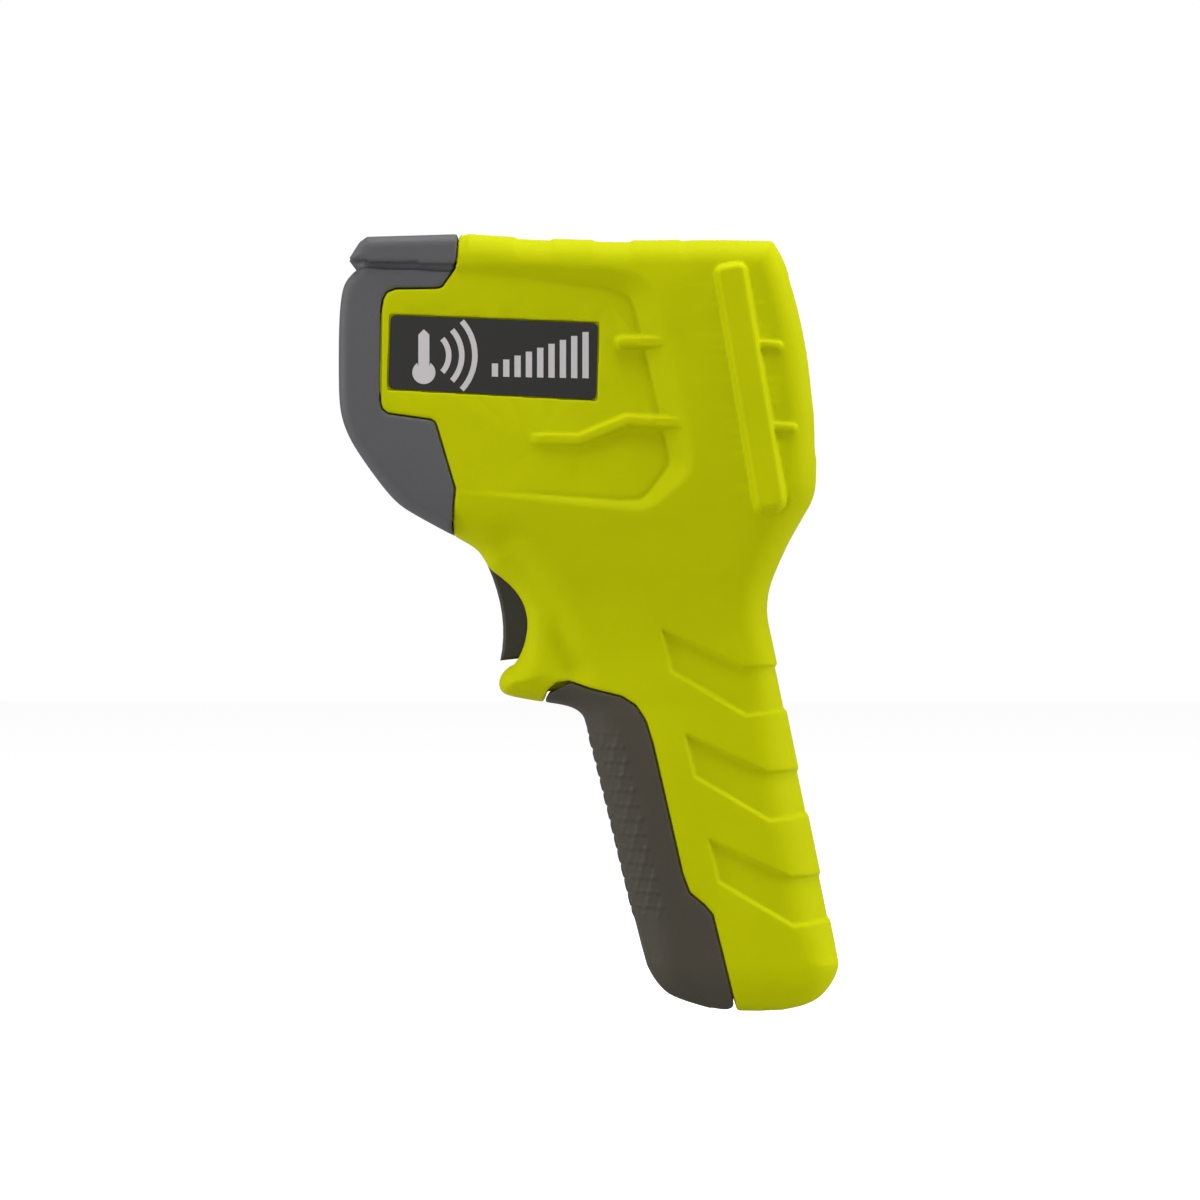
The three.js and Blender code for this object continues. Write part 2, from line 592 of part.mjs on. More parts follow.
addPiece("rear_bezel", rearBezel(), MATERIAL.badge, displayGroup);
addPiece("display_window", displayWindow(), MATERIAL.window, displayGroup);
addPiece("lcd_module", lcdModule(), MATERIAL.lcd, displayGroup);
addPiece("lcd_backlight", backlight(), MATERIAL.diffuser, displayGroup);
addPiece("main_board", mainBoard(), MATERIAL.board, displayGroup);
addPiece("keypad_mat", keypadMat(), MATERIAL.rubber, displayGroup);
for (const [name, y] of Object.entries(KEY_YS)) {
  addPiece(name, keyCap(y), MATERIAL.rubber, displayGroup);
}

addPiece("trigger", trigger(), MATERIAL.trigger);
addPiece("trigger_pin", triggerPin(), MATERIAL.steel);
addPiece("trigger_spring", triggerSpring(), MATERIAL.steel);
addPiece("trigger_switch", switchBody(), MATERIAL.black);
addPiece("switch_plunger", switchPlunger(), MATERIAL.red);
addPiece("switch_board", switchBoard(), MATERIAL.board);

addPiece("battery_door", batteryDoor(), MATERIAL.doorGrey);
addPiece("door_hinge_pin", hingePin(), MATERIAL.steel);
addPiece("battery", batteryCell(), MATERIAL.battery, batteryGroup);
addPiece("battery_snap", batterySnap(), MATERIAL.black, batteryGroup);
addPiece("lead_red", lead(-2), MATERIAL.red);
addPiece("lead_black", lead(2), MATERIAL.blackWire);

SCREWS.forEach((spot, i) => addPiece(`housing_screw_${i + 1}`, screw(spot), MATERIAL.steel));

export default thermometer;
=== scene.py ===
"""Pistol-grip infrared thermometer: moulded shells, finishes, and a soft studio.
The shells are distance fields. A side profile and a half-width map make the body, and seams part it."""

import json
import math

import bmesh
import bpy
import numpy as np
import openvdb
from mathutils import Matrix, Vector

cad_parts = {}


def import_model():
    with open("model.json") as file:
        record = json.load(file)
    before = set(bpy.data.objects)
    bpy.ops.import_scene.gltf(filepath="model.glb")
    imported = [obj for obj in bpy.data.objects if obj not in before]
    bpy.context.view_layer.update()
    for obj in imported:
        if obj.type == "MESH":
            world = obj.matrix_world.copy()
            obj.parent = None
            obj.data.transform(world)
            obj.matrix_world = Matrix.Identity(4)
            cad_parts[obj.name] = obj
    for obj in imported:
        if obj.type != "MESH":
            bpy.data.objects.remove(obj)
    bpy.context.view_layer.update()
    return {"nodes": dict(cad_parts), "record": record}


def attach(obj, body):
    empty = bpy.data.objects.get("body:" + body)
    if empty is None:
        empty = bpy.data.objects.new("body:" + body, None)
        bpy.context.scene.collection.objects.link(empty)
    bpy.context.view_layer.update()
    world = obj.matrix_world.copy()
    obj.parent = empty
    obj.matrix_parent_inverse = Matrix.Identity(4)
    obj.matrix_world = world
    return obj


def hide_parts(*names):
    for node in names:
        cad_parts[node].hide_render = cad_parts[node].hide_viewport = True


MM = 0.001
VOXEL = 0.36  # mm
WALL = 2.0
SEAM = 0.15  # half the gap between two shells
LIP_DEPTH = (2.3, 3.0)  # the tongue behind a seam, measured in from the skin
LIP_REACH = 1.6
MOST_TRIANGLES = 190000  # of one shell

PANEL_Y = 17.3  # the sunk cheek panel
PANEL_RAMP = 0.46  # how steeply the cheek rises out of it
BUMPER_Y = 22.9
BUMPER_HALF = 2.8
BUMPER_CORNER = 1.5
BUMPER_FILLET = 0.9
VISOR_Y = 18.0
NOSE_Y = 17.3
CHEEK_Y = 20.4
GRIP_Y = 14.4
CHEVRON_DEPTH = 0.85
OPTIC_Z = 130
LASER_Z = 144.3
SCREW_HEAD_Y = 10.3
AMBIENT = 0.22
BACKDROP = 1.0
RAKE = math.radians(8.2)
DISPLAY_AT = (42, 130)  # x, z
DISPLAY_HALF = (15.9, 18.9)  # half width and half height of its opening
DISPLAY_CORNER = 2.5
OPTIC_BORE = 10.5
LASER_BORE = 2.9
BORE_END_X = -43  # how far back both bores reach
SCREW_BORE = 2.7
SCREW_BOSS = 3.4
BOSS_HALF_WIDTH = 16
TRIGGER_SLOT = ((-30, -7.3, 69.6), (-9, 7.3, 91))
BADGE_POCKET_Y = 16.65
BADGE_BACK_Y = 16.75
KNUCKLE_RADIUS = 1.7
KNUCKLE_HALF = 5.8
LUG_AT_Y = 7.9
LUG_HALF = 1.8

# Side profile of the body in mm (x, z), from the base up the front, over the roof and down the back.
PROFILE_FRONT = [
    (34, 0.1), (26, 0.2), (22, 1.2), (17.2, 2.8), (14.8, 4.2), (12.4, 7.2), (10.8, 10.6), (-0.7, 58.2),
    (-2.2, 60.3), (-4.8, 61.4), (-9.6, 62.1), (-13.3, 62.7), (-16.7, 63.4), (-17.9, 64.2),
    (-18.4, 65.5), (-18.1, 67.2), (-17, 68.6), (-15.4, 69.7), (-14.4, 71.2), (-13.4, 73.4), (-12.8, 76.2),
    (-12.8, 79), (-13.6, 82), (-15.5, 84.9), (-17.9, 87.1), (-20.1, 88.7), (-21.1, 90.4), (-22.2, 92.2),
    (-23.6, 93.4), (-26.8, 95.2), (-30.2, 97), (-34.6, 99.4), (-37.9, 101.4), (-40.6, 104.2),
    (-44.2, 109), (-47.4, 113.8), (-49.2, 117.8), (-50, 122), (-50.1, 130), (-50, 138), (-49.6, 143),
    (-48.9, 145.7), (-47.4, 147.6), (-46.4, 148.4),
]
PROFILE_VISOR = [(-46.4, 149.3), (-48.1, 150.3), (-45.9, 153.8), (-44.4, 154.9), (-25.2, 155.45)]
PROFILE_REAR = [
    (-23, 155.2), (-11, 154.4), (4, 153.95), (17.5, 153.95), (20.5, 154.4), (35.5, 154.15),
    (36.4, 154.05), (36.8, 153.4), (38.8, 150), (41, 142.6), (42.2, 137.8), (43.6, 130.6),
    (44.4, 123.4), (45, 118.6),
    (45.15, 111.4), (45.1, 106.6), (44.9, 104.2), (44.1, 101.8), (42.7, 99.4), (40, 94.6), (38.4, 91.2),
    (36.8, 87.4), (36, 85), (35.6, 82.6), (35.5, 80.2), (35.8, 77.8), (36.4, 75.4), (50.1, 10.6),
    (49.8, 8.2), (48.5, 5.6), (46.7, 3.4), (44.8, 2), (42.2, 1), (38.6, 0.3),
]
ROOF_PADS = [(-24.5, -14.8), (-7.6, 0.8), (8.3, 18)]  # x ranges

# Half widths up the front and up the back (z, y), and the radius of the long edges (z, mm).
WIDTH_FRONT = [(0, 12), (6, 14.2), (12, GRIP_Y), (56, GRIP_Y), (66, 12.4), (80, 13), (90, 15), (100, 16.5),
               (110, 17.1), (120, NOSE_Y), (156, NOSE_Y)]
WIDTH_REAR = [(0, 12), (6, 14.2), (12, GRIP_Y), (72, GRIP_Y), (82, 15.6), (92, 18), (102, 19.9),
              (112, CHEEK_Y), (148, CHEEK_Y), (156, 19.6)]
EDGE_RADIUS = [(0, 3.2), (3, 3.6), (16, 9.5), (54, 9.5), (66, 6), (78, 6), (92, 7), (106, 6),
               (150, 5.2), (156, 4.6)]
NOSE_EDGE = 2.3

NOSE_SEAM = [
    (-26.1, 170), (-26.2, 155.3), (-26.4, 150.8), (-27.1, 148.2), (-29.4, 144.9), (-30.3, 144.6),
    (-38.6, 144.5), (-40.4, 143.8), (-41.2, 142.3), (-41.5, 140), (-41.7, 122), (-41.3, 120.6),
    (-40.2, 119.7), (-31.6, 118.5), (-30.7, 117.9), (-26.8, 104.8), (-27.4, 97.9), (-27.1, 80),
    (-70, 80), (-70, 170),
]
VISOR = [(-60, 150.2), (-46, 150), (-26.9, 149.3), (-25.9, 150.2), (-25.6, 170), (-60, 170)]
DOOR_SEAM = [
    (29.6, -9), (29.4, 0), (25.1, 17.3), (24.5, 19.8), (22.9, 21.7), (19.9, 24.2), (18.5, 27.8),
    (12.5, 54.1), (11.1, 58.5), (9.2, 61.5), (6.4, 63.3), (0.4, 64.8), (-4.2, 66.3), (-6.7, 66),
    (-8.4, 64.5), (-9.1, 62.6), (-9.2, 61.6), (-30, 61.6), (-30, -9),
]
PANEL = [
    (-60, 147.9), (-26, 147.8), (-13, 146.7), (-4.3, 145.6), (4, 144.5), (7, 143.6), (8.5, 141.9),
    (10, 136), (13.5, 120.9), (15.3, 113), (15.9, 109.6), (14.8, 108.1), (11.4, 103.5), (9.4, 102.2),
    (-6, 103.3), (-17.2, 103.9), (-60, 106),
]
BADGE = [(-39.6, 139.2), (1.6, 137.6), (1.2, 122.4), (-40.1, 124.6)]
BADGE_CORNER = 1.2
BUMPER = [(28.2, 146), (35.5, 103.4)]
UPPER_RIB = [(6.4, 133.8), (17.4, 133.8)]
LOWER_RIB = [(-16, 114.6), (-2, 114.4), (7.4, 118.2), (21.2, 117.5)]
REAR_RIBS = [[(33.2, 133.2), (37.2, 132.9)], [(35.7, 116.9), (40.2, 116.6)]]
RIB_HALF = 1.15
CHEVRON = [(14.1, 77.1), (30.6, 69.4), (41, 69.8), (42.6, 60.7), (31.1, 59.3), (16, 68.2)]
CHEVRON_PITCH = (4.7, -21)
FINGER_VALLEY = [(-17, 92.5), (-9.5, 84), (-4, 69)]
DOOR_HINGE = (27.2, 2.1)
DOOR_SWEEP = 71.2
DOOR_LEAN = 11.5 / 47.6
STAR_PITCH = 2.9
STAR_ARM = 0.95
STAR_HEIGHT = 0.3
SCREWS = [(-19, 104.5), (31, 99), (21, 147), (33.5, 70), (43, 9.3)]


# ---------------------------------------------------------------- flat maps over x, z

GRID_LOW = np.array([-52.0, -2.0])
GRID_HIGH = np.array([53.0, 158.0])
COUNT = np.ceil((GRID_HIGH - GRID_LOW) / VOXEL).astype(int)
XS = GRID_LOW[0] + VOXEL * np.arange(COUNT[0])
ZS = GRID_LOW[1] + VOXEL * np.arange(COUNT[1])
X, Z = np.meshgrid(XS, ZS, indexing="ij")


def smoothed(points, rounds=2):
    """The points of an open line with their corners cut, which keeps both ends."""
    line = np.array(points, float)
    for _ in range(rounds):
        near = 0.75 * line[:-1] + 0.25 * line[1:]
        far = 0.25 * line[:-1] + 0.75 * line[1:]
        inner = np.stack([near, far], 1).reshape(-1, 2)
        line = np.vstack([line[:1], inner[1:-1], line[-1:]])
    return line


def segment_distance(a, b):
    """Distance to the segment a-b, and how far along it the nearest point is (0 to 1)."""
    ax, az = a
    bx, bz = b
    dx, dz = bx - ax, bz - az
    along = ((X - ax) * dx + (Z - az) * dz) / max(dx * dx + dz * dz, 1e-9)
    along = np.clip(along, 0, 1)
    return np.hypot(X - ax - along * dx, Z - az - along * dz), along


def polygon(points):
    """Signed distance to a closed outline, negative inside."""
    away = np.full(X.shape, 1e9)
    inside = np.zeros(X.shape, bool)
    for a, b in zip(points, np.roll(points, -1, axis=0)):
        away = np.minimum(away, segment_distance(a, b)[0])
        if a[1] != b[1]:
            crosses = (Z < a[1]) != (Z < b[1])
            inside ^= crosses & (X < a[0] + (Z - a[1]) * (b[0] - a[0]) / (b[1] - a[1]))
    return np.where(inside, -away, away)


def stroke(points):
    """Distance to an open line."""
    return np.minimum.reduce([segment_distance(a, b)[0] for a, b in zip(points[:-1], points[1:])])


def step(low, high, value):
    """Smooth rise from 0 at low to 1 at high."""
    t = np.clip((value - low) / (high - low), 0, 1)
    return t * t * (3 - 2 * t)


def soft_max(a, b, radius):
    """Maximum with a rounded inner corner of about that radius."""
    t = np.maximum(radius - np.abs(a - b), 0) / radius
    return np.maximum(a, b) + t * t * radius / 4


def soft_min(a, b, radius):
    return -soft_max(-a, -b, radius)


def table(line):
    """A z, value line read at every map point, with its kinks eased."""
    z, value = np.array(smoothed(line)).T
    return np.interp(Z, z, value)


def blurred(field, times):
    """A light repeated 3-tap blur, to take stair steps out of a map."""
    for _ in range(times):
        wide = np.pad(field, 1, mode="edge")
        field = (wide[:-2, 1:-1] + wide[2:, 1:-1] + wide[1:-1, :-2] + wide[1:-1, 2:] + 4 * field) / 8
    return field


def profile_map():
    """Signed distance to the side view of the body, with the low pads on its roof."""
    front = smoothed(PROFILE_FRONT)
    rear = smoothed(PROFILE_REAR)
    outline = polygon(np.vstack([front, np.array(PROFILE_VISOR), rear]))
    for low, high in ROOF_PADS:
        middle, half = (low + high) / 2, (high - low) / 2
        pad = step(half + 0.4, half - 0.4, np.abs(X - middle)) * step(146, 152, Z)
        outline = outline - 0.35 * pad
    return outline


def front_line(points):
    """x of the front or rear edge at each height."""
    order = points[np.argsort(points[:, 1])]
    return np.interp(Z, order[:, 1], order[:, 0])


def bumper_height():
    """Height of the slanted bar: a rounded oblong with a filleted top, or far below where there is none."""
    low, high = (np.array(end) for end in BUMPER)
    middle = (low + high) / 2
    reach = np.hypot(*(high - low)) / 2 + BUMPER_HALF
    run_x, run_z = (high - low) / np.hypot(*(high - low))
    along = np.abs((X - middle[0]) * run_x + (Z - middle[1]) * run_z) - reach + BUMPER_CORNER
    across = np.abs((Z - middle[1]) * run_x - (X - middle[0]) * run_z) - BUMPER_HALF + BUMPER_CORNER
    away = np.hypot(np.maximum(along, 0), np.maximum(across, 0)) - BUMPER_CORNER
    away = away + np.minimum(np.maximum(along, across), 0)
    into = np.clip(away + BUMPER_FILLET, 0, BUMPER_FILLET)
    crown = BUMPER_Y - BUMPER_FILLET + np.sqrt(BUMPER_FILLET**2 - into**2)
    return np.where(away < 0, crown, crown - 4 * away)


def chevron_map():
    """Depth of the three grooves on the grip."""
    deepest = np.zeros(X.shape)
    for n in range(3):
        outline = [(x + n * CHEVRON_PITCH[0], z + n * CHEVRON_PITCH[1]) for x, z in CHEVRON]
        deepest = np.maximum(deepest, step(0.25, -0.5, polygon(np.array(outline)) + 0.15))
    return CHEVRON_DEPTH * deepest


def width_map(nose):
    """Half width of the body at every point of its side view, with all that is moulded into the cheek."""
    front = front_line(np.array(PROFILE_FRONT[1:]))
    rear = front_line(np.array(PROFILE_REAR[4:]))
    back = np.clip((X - front) / np.maximum(rear - front, 1), 0, 1)
    base = blurred(table(WIDTH_FRONT) * (1 - back) + table(WIDTH_REAR) * back, 12)
    valley = stroke(smoothed(FINGER_VALLEY))
    base -= 1.8 * np.exp(-((valley / 3.8) ** 2))

    panel = polygon(smoothed(PANEL + PANEL[:1], 1))
    ramp = PANEL_Y + PANEL_RAMP * np.maximum(panel, 0)
    sunk = soft_min(base, np.where(panel < 0, PANEL_Y, ramp), 0.35)
    crease = 0.22 * np.exp(-((panel / 0.55) ** 2)) * step(-22, -2, X)
    width = sunk - crease

    for line in (UPPER_RIB, LOWER_RIB):
        away = stroke(np.array(line))
        fade = step(-16, -9, X)
        rib = soft_min(base - 0.25, PANEL_Y + 1.9, 0.6) - 2.2 * (1 - fade)
        width = soft_max(width, rib - 2.4 * np.maximum(away - RIB_HALF + 0.3, 0), 0.35)
    for line in REAR_RIBS:
        away = stroke(np.array(line))
        width = soft_max(width, base + 0.9 - 2.2 * np.maximum(away - RIB_HALF + 0.5, 0), 0.35)
    width = soft_max(width, bumper_height(), 0.4)

    visor = polygon(np.array(VISOR))
    width = np.where((nose < 0.4) & (visor < 0), VISOR_Y + 0.1, width)
    ledge = step(1.5, 1.2, visor) * (visor >= 0) * (nose < 0.3)
    width = width - 1.1 * ledge
    return width


# ---------------------------------------------------------------- solid fields

NOSE = polygon(np.array(NOSE_SEAM))
DOOR = polygon(np.array(DOOR_SEAM))
BADGE_MAP = polygon(np.array(BADGE))
OUTLINE = profile_map()
WIDTH = width_map(NOSE)
RADIUS = blurred(np.where(NOSE < 0, NOSE_EDGE + 0.5 * step(116, 104, Z), table(EDGE_RADIUS)), 1)
SLOPE = np.hypot(*np.gradient(blurred(WIDTH, 1), VOXEL))
CHEVRONS = chevron_map()


def cheek_body(x_range, y, z_range):
    """Distance field of the whole body over a block of the grid, for heights y off the split plane."""
    cut = (x_range, z_range)
    outline = OUTLINE[cut][:, None, :]
    radius = RADIUS[cut][:, None, :]
    width = WIDTH[cut][:, None, :]
    steep = np.sqrt(1 + np.minimum(SLOPE[cut], 3) ** 2)[:, None, :]
    side = (np.abs(y)[None, :, None] - width) / steep
    a = np.maximum(outline + radius, 0)
    b = np.maximum(side + radius, 0)
    inner = np.minimum(np.maximum(outline, side) + radius, 0)
    field = np.hypot(a, b) + inner - radius
    groove = CHEVRONS[cut][:, None, :] * (0.5 + 0.5 * step(5, 9, np.abs(y)))[None, :, None]
    return field + groove


def rounded_cut(field, wall, radius):
    """field without what wall covers (negative inside), with a small rounded edge."""
    return soft_max(field, -wall, radius)


class Block:
    """The part of the grid that a shell is sampled on."""

    def __init__(self, low, high):
        first = np.maximum(((np.array([low[0], low[2]]) - GRID_LOW) / VOXEL).astype(int), 0)
        last = np.minimum(((np.array([high[0], high[2]]) - GRID_LOW) / VOXEL).astype(int) + 1, COUNT)
        self.x_range = slice(first[0], last[0])
        self.z_range = slice(first[1], last[1])
        self.y = low[1] + VOXEL * np.arange(int((high[1] - low[1]) / VOXEL) + 1)
        self.x = XS[self.x_range][:, None, None]
        self.z = ZS[self.z_range][None, None, :]
        self.w = self.y[None, :, None]

    def body(self):
        return cheek_body(self.x_range, self.y, self.z_range)

    def flat(self, field):
        return field[self.x_range, self.z_range][:, None, :]

    def shell(self, region, relief=0.0):
        """The body's wall inside a region, with its seam edge rounded and a relief raised on its skin."""
        body = self.body()
        solid = soft_max(body - relief, region + SEAM, 0.45)
        return np.maximum(solid, -(body + WALL))

    def lip(self, region):
        """A tongue under a seam: it grows from the wall inside a region and reaches behind the neighbour."""
        depth = -self.body()
        tongue = np.maximum(np.maximum(WALL - 0.4 - depth, depth - LIP_DEPTH[1]),
                            np.maximum(region - LIP_REACH, -4 - region))
        return np.maximum(tongue, -np.maximum(-0.1 - region, depth - LIP_DEPTH[0]))

    def rod_y(self, spot, radius):
        return np.hypot(self.x - spot[0], self.z - spot[1]) - radius + 0 * self.w

    def rod_x(self, z, radius):
        return np.hypot(self.w, self.z - z) - radius + 0 * self.x

    def brick(self, low, high):
        middle = (np.array(low) + np.array(high)) / 2
        half = (np.array(high) - np.array(low)) / 2
        spread = [np.abs(v - m) - h for v, m, h in zip((self.x, self.w, self.z), middle, half)]
        return np.maximum(np.maximum(spread[0], spread[1]), spread[2])

    def mesh(self, name, field):
        """The field's surface as an object, in metres."""
        grid = openvdb.FloatGrid()
        grid.background = 3.0
        grid.copyFromArray(np.clip(field, -3, 3).astype(np.float32))
        points, triangles, quads = grid.convertToPolygons(isovalue=0.0, adaptivity=0.0)
        corner = np.array([self.x.min(), self.y[0], self.z.min()])
        place = (points * VOXEL + corner) * MM
        mesh = bpy.data.meshes.new(name)
        faces = [tuple(q[::-1]) for q in quads.tolist()] + [tuple(t[::-1]) for t in triangles.tolist()]
        mesh.from_pydata(place.tolist(), [], faces)
        mesh.polygons.foreach_set("use_smooth", [True] * len(mesh.polygons))
        piece = bpy.data.objects.new(name, mesh)
        bpy.context.scene.collection.objects.link(piece)
        triangles_now = 2 * len(mesh.polygons)
        if triangles_now > MOST_TRIANGLES:
            thinner = piece.modifiers.new("thinner", "DECIMATE")
            thinner.ratio = MOST_TRIANGLES / triangles_now
        return piece


def display_opening(block):
    """The raked opening for the rear display, in the body's frame."""
    dx, dz = block.x - DISPLAY_AT[0], block.z - DISPLAY_AT[1]
    depth = dx * math.cos(RAKE) + dz * math.sin(RAKE)
    rise = -dx * math.sin(RAKE) + dz * math.cos(RAKE)
    across = np.abs(block.w) - DISPLAY_HALF[0]
    up = np.abs(rise + 0.4) - DISPLAY_HALF[1]
    corner = DISPLAY_CORNER
    edge = np.hypot(np.maximum(across + corner, 0), np.maximum(up + corner, 0)) - corner
    edge = edge + np.minimum(np.maximum(across + corner, up + corner), 0)
    return np.maximum(edge, np.abs(depth - 1) - 7)


def housing(side):
    """One lime half: -1 is the left one, and 1 is the right one, which the screws go into."""
    y0, y1 = (-24, -0.001) if side < 0 else (0.001, 24)
    block = Block((-45, y0 - 0.5 * (side > 0), -2), (52.5, y1 + 0.5 * (side < 0), 157))
    rest = -np.minimum(block.flat(NOSE), block.flat(DOOR))
    above_hinge = np.minimum(8 - block.z, 10 - np.abs(block.w))
    field = np.minimum(block.shell(rest), np.maximum(block.lip(rest), above_hinge))
    half = (0.1 - side * block.w) + 0 * field
    for spot in SCREWS:
        boss = np.maximum(block.rod_y(spot, SCREW_BOSS), np.abs(block.w) - BOSS_HALF_WIDTH)
        field = np.minimum(field, np.maximum(boss, block.body() + 0.5))
    field = soft_max(field, half, 0.35)
    field = rounded_cut(field, block.brick(*TRIGGER_SLOT), 0.8)
    field = rounded_cut(field, display_opening(block), 0.7)
    if side > 0:
        for spot in SCREWS:
            bore = np.maximum(block.rod_y(spot, SCREW_BORE), SCREW_HEAD_Y - block.w)
            field = rounded_cut(field, bore, 0.5)
    pocket = np.maximum(block.flat(BADGE_MAP) - 0.25, BADGE_POCKET_Y - np.abs(block.w))
    field = np.maximum(field, -pocket)
    backing = np.maximum(block.flat(BADGE_MAP) - 2, np.abs(np.abs(block.w) - 15.9) - 0.7)
    backing = np.maximum(np.maximum(backing, block.body() + 0.4), half)
    return block.mesh("shell_left" if side < 0 else "shell_right", np.minimum(field, backing))


def nose_cover():
    block = Block((-52, -20, 90), (-20, 20, 157.5))
    field = block.shell(block.flat(NOSE))
    optic = np.maximum(block.rod_x(OPTIC_Z, OPTIC_BORE), block.x - BORE_END_X)
    laser = np.maximum(block.rod_x(LASER_Z, LASER_BORE), block.x - BORE_END_X)
    return block.mesh("nose_shell", rounded_cut(rounded_cut(field, optic, 0.9), laser, 0.5))


def stars(u, v):
    """How much of a small raised three-pointed star is at u, v, tiled in staggered rows."""
    row = v / STAR_PITCH
    across = ((u / STAR_PITCH + 0.5 * (np.floor(row) % 2)) % 1 - 0.5) * STAR_PITCH
    up = (row % 1 - 0.5) * STAR_PITCH
    away = np.full(np.broadcast(across, up).shape, 9.0)
    for angle in (90, 210, 330):
        run_u, run_v = math.cos(math.radians(angle)), math.sin(math.radians(angle))
        along = np.clip(across * run_u + up * run_v, 0, STAR_ARM)
        away = np.minimum(away, np.hypot(across - along * run_u, up - along * run_v))
    return step(0.6, 0.15, away)


def star_bumps(block):
    """Relief of stars around the front of the door: laid on from the side, and from the front between."""
    behind = block.x + (block.z - 10) * DOOR_LEAN - 10.8
    in_rows = step(18, 20, block.z) * step(57, 55, block.z)
    on_side = stars(behind - 0.9, block.z) * step(6.9, 6.3, behind)
    on_front = stars(block.w, block.z) * step(2.5, 1.5, behind)
    from_side = step(9, 10, np.abs(block.w))
    return STAR_HEIGHT * in_rows * (on_side * from_side + on_front * (1 - from_side))


def battery_door():
    block = Block((-11, -16, -2), (31, 16, 68))
    field = block.shell(block.flat(DOOR), star_bumps(block))
    sweep = block.rod_y(DOOR_HINGE, DOOR_SWEEP)
    heel = np.maximum(np.maximum(DOOR_HINGE[0] - block.x, block.z - DOOR_HINGE[1]),
                      -block.rod_y(DOOR_HINGE, KNUCKLE_RADIUS))
    field = rounded_cut(soft_max(field, sweep, 0.5), heel + 0 * block.w, 0.3)
    for side in (-1, 1):
        middle = side * LUG_AT_Y
        notch = block.brick((24.6, middle - LUG_HALF, -4), (32, middle + LUG_HALF, 4.6))
        field = rounded_cut(field, notch, 0.3)
    knuckle = np.maximum(block.rod_y(DOOR_HINGE, KNUCKLE_RADIUS), np.abs(block.w) - KNUCKLE_HALF)
    return block.mesh("door_shell", np.minimum(field, knuckle))


# ---------------------------------------------------------------- materials

def shader(name, color, roughness, **values):
    material = bpy.data.materials.new(name)
    material.use_nodes = True
    bsdf = material.node_tree.nodes["Principled BSDF"]
    bsdf.inputs["Base Color"].default_value = (*color, 1)
    bsdf.inputs["Roughness"].default_value = roughness
    for key, value in values.items():
        bsdf.inputs[key.replace("_", " ")].default_value = value
    return material, bsdf


def linear(r, g, b):
    """sRGB 0-255 to linear."""
    return tuple(((c / 255 + 0.055) / 1.055) ** 2.4 if c > 10 else c / 255 / 12.92 for c in (r, g, b))


def grained(name, color, roughness, grain=0.25, scale=2600, spread=0.08, **values):
    """Moulded plastic: a fine bump, a slight mottling of color and of gloss."""
    material, bsdf = shader(name, color, roughness, **values)
    nodes, links = material.node_tree.nodes, material.node_tree.links
    place = nodes.new("ShaderNodeTexCoord")
    fine = nodes.new("ShaderNodeTexNoise")
    fine.inputs["Scale"].default_value = scale
    fine.inputs["Detail"].default_value = 2
    broad = nodes.new("ShaderNodeTexNoise")
    broad.inputs["Scale"].default_value = 60
    broad.inputs["Detail"].default_value = 3
    for noise in (fine, broad):
        links.new(place.outputs["Object"], noise.inputs["Vector"])
    bump = nodes.new("ShaderNodeBump")
    bump.inputs["Strength"].default_value = grain
    bump.inputs["Distance"].default_value = 0.0001
    links.new(fine.outputs["Fac"], bump.inputs["Height"])
    links.new(bump.outputs["Normal"], bsdf.inputs["Normal"])
    tint = nodes.new("ShaderNodeMapRange")
    tint.inputs["To Min"].default_value = 1 - spread
    tint.inputs["To Max"].default_value = 1 + spread
    links.new(broad.outputs["Fac"], tint.inputs["Value"])
    scaled = nodes.new("ShaderNodeVectorMath")
    scaled.operation = "SCALE"
    scaled.inputs[0].default_value = color
    links.new(tint.outputs["Result"], scaled.inputs["Scale"])
    links.new(scaled.outputs["Vector"], bsdf.inputs["Base Color"])
    gloss = nodes.new("ShaderNodeMapRange")
    gloss.inputs["To Min"].default_value = roughness - 0.06
    gloss.inputs["To Max"].default_value = roughness + 0.06
    links.new(broad.outputs["Fac"], gloss.inputs["Value"])
    links.new(gloss.outputs["Result"], bsdf.inputs["Roughness"])
    return material


def brushed(name, color, roughness=0.28):
    return grained(name, color, roughness, grain=0.15, scale=900, spread=0.05, Metallic=1.0)


def clear(name, color, roughness):
    return grained(name, color, roughness, grain=0.03, scale=500, spread=0.02, Transmission_Weight=0.9)


